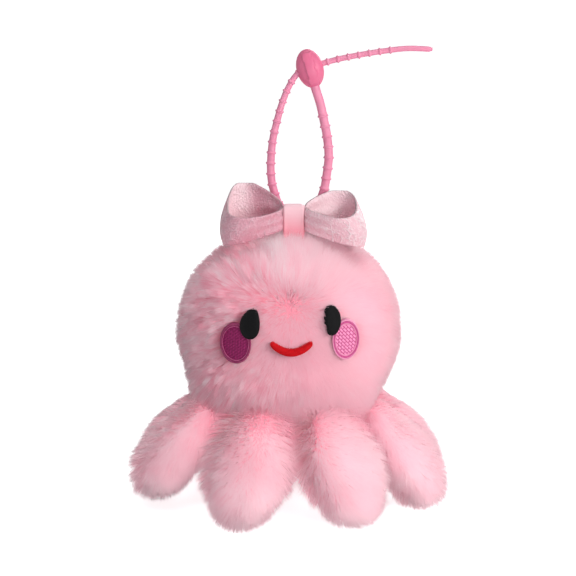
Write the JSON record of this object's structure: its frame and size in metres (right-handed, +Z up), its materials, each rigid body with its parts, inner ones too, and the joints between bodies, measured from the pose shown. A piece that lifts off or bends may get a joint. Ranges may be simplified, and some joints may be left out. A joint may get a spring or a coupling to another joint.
{
  "type": "plush toy",
  "caption": "Pink long-pile plush octopus bag charm with stuffed legs, a ribbon bow, an embroidered smiling face and a ribbed hanging strap",
  "frame": {"origin": "on the ground under the middle of the ring of legs", "axes": "+Z up, the face looks along -Y, +X is to the right when the face is seen from the front"},
  "size_m": [0.1182, 0.111, 0.1706],
  "materials": {
    "pink_fur": "long fluffy pile",
    "white_fibre": "loose polyester filling",
    "black_thread": "satin stitch",
    "magenta_thread": "filled embroidery with a border",
    "red_thread": "satin stitch",
    "pale_jacquard": "woven jacquard",
    "pink_satin": "satin ribbon",
    "pink_rubber": "smooth moulded, slightly glossy"
  },
  "bodies": {
    "body": {"face_panel": "pink_fur", "back_panel": "pink_fur", "base_panel": "pink_fur", "head_stuffing": "white_fibre", "left_eye": "black_thread", "right_eye": "black_thread", "left_cheek": "magenta_thread", "right_cheek": "magenta_thread", "mouth": "red_thread", "bow_ribbon": "pale_jacquard", "bow_knot_band": "pink_satin", "hanging_tab": "pink_satin"},
    "strap": {"ribbed_band": "pink_rubber", "strap_lock": "pink_rubber"},
    "leg_1": {"leg_cover_1": "pink_fur", "leg_stuffing_1": "white_fibre"},
    "leg_2": {"leg_cover_2": "pink_fur", "leg_stuffing_2": "white_fibre"},
    "leg_3": {"leg_cover_3": "pink_fur", "leg_stuffing_3": "white_fibre"},
    "leg_4": {"leg_cover_4": "pink_fur", "leg_stuffing_4": "white_fibre"},
    "leg_5": {"leg_cover_5": "pink_fur", "leg_stuffing_5": "white_fibre"},
    "leg_6": {"leg_cover_6": "pink_fur", "leg_stuffing_6": "white_fibre"},
    "leg_7": {"leg_cover_7": "pink_fur", "leg_stuffing_7": "white_fibre"},
    "leg_8": {"leg_cover_8": "pink_fur", "leg_stuffing_8": "white_fibre"}
  },
  "joints": [
    {"name": "strap_swing", "type": "hinge", "parent": "body", "child": "strap", "pos_m": [0.0036, 0, 0.1083], "axis": [-1, 0, 0], "range_deg": [0, 105]},
    {"name": "leg_1_fold", "type": "hinge", "parent": "body", "child": "leg_1", "pos_m": [-0.03535, -0.01287, 0.04558], "axis": [-0.342, 0.9397, 0], "range_deg": [0, 30], "stiffness_Nm_per_rad": 0.02, "springref_deg": -20.05},
    {"name": "leg_2_fold", "type": "hinge", "parent": "body", "child": "leg_2", "pos_m": [-0.01233, -0.03211, 0.04586], "axis": [-0.9336, 0.3584, 0], "range_deg": [0, 30], "stiffness_Nm_per_rad": 0.02, "springref_deg": -20.05},
    {"name": "leg_3_fold", "type": "hinge", "parent": "body", "child": "leg_3", "pos_m": [0.01576, -0.03094, 0.04561], "axis": [-0.891, -0.454, 0], "range_deg": [0, 30], "stiffness_Nm_per_rad": 0.02, "springref_deg": -20.05},
    {"name": "leg_4_fold", "type": "hinge", "parent": "body", "child": "leg_4", "pos_m": [0.03486, -0.01269, 0.04461], "axis": [-0.342, -0.9397, 0], "range_deg": [0, 30], "stiffness_Nm_per_rad": 0.02, "springref_deg": -20.05},
    {"name": "leg_5_fold", "type": "hinge", "parent": "body", "child": "leg_5", "pos_m": [0.03486, 0.01269, 0.04461], "axis": [0.342, -0.9397, 0], "range_deg": [0, 30], "stiffness_Nm_per_rad": 0.02, "springref_deg": -20.05},
    {"name": "leg_6_fold", "type": "hinge", "parent": "body", "child": "leg_6", "pos_m": [0.01576, 0.03094, 0.04561], "axis": [0.891, -0.454, 0], "range_deg": [0, 30], "stiffness_Nm_per_rad": 0.02, "springref_deg": -20.05},
    {"name": "leg_7_fold", "type": "hinge", "parent": "body", "child": "leg_7", "pos_m": [-0.01233, 0.03211, 0.04586], "axis": [0.9336, 0.3584, 0], "range_deg": [0, 30], "stiffness_Nm_per_rad": 0.02, "springref_deg": -20.05},
    {"name": "leg_8_fold", "type": "hinge", "parent": "body", "child": "leg_8", "pos_m": [-0.03486, 0.01269, 0.04461], "axis": [0.342, 0.9397, 0], "range_deg": [0, 30], "stiffness_Nm_per_rad": 0.02, "springref_deg": -20.05}
  ]
}
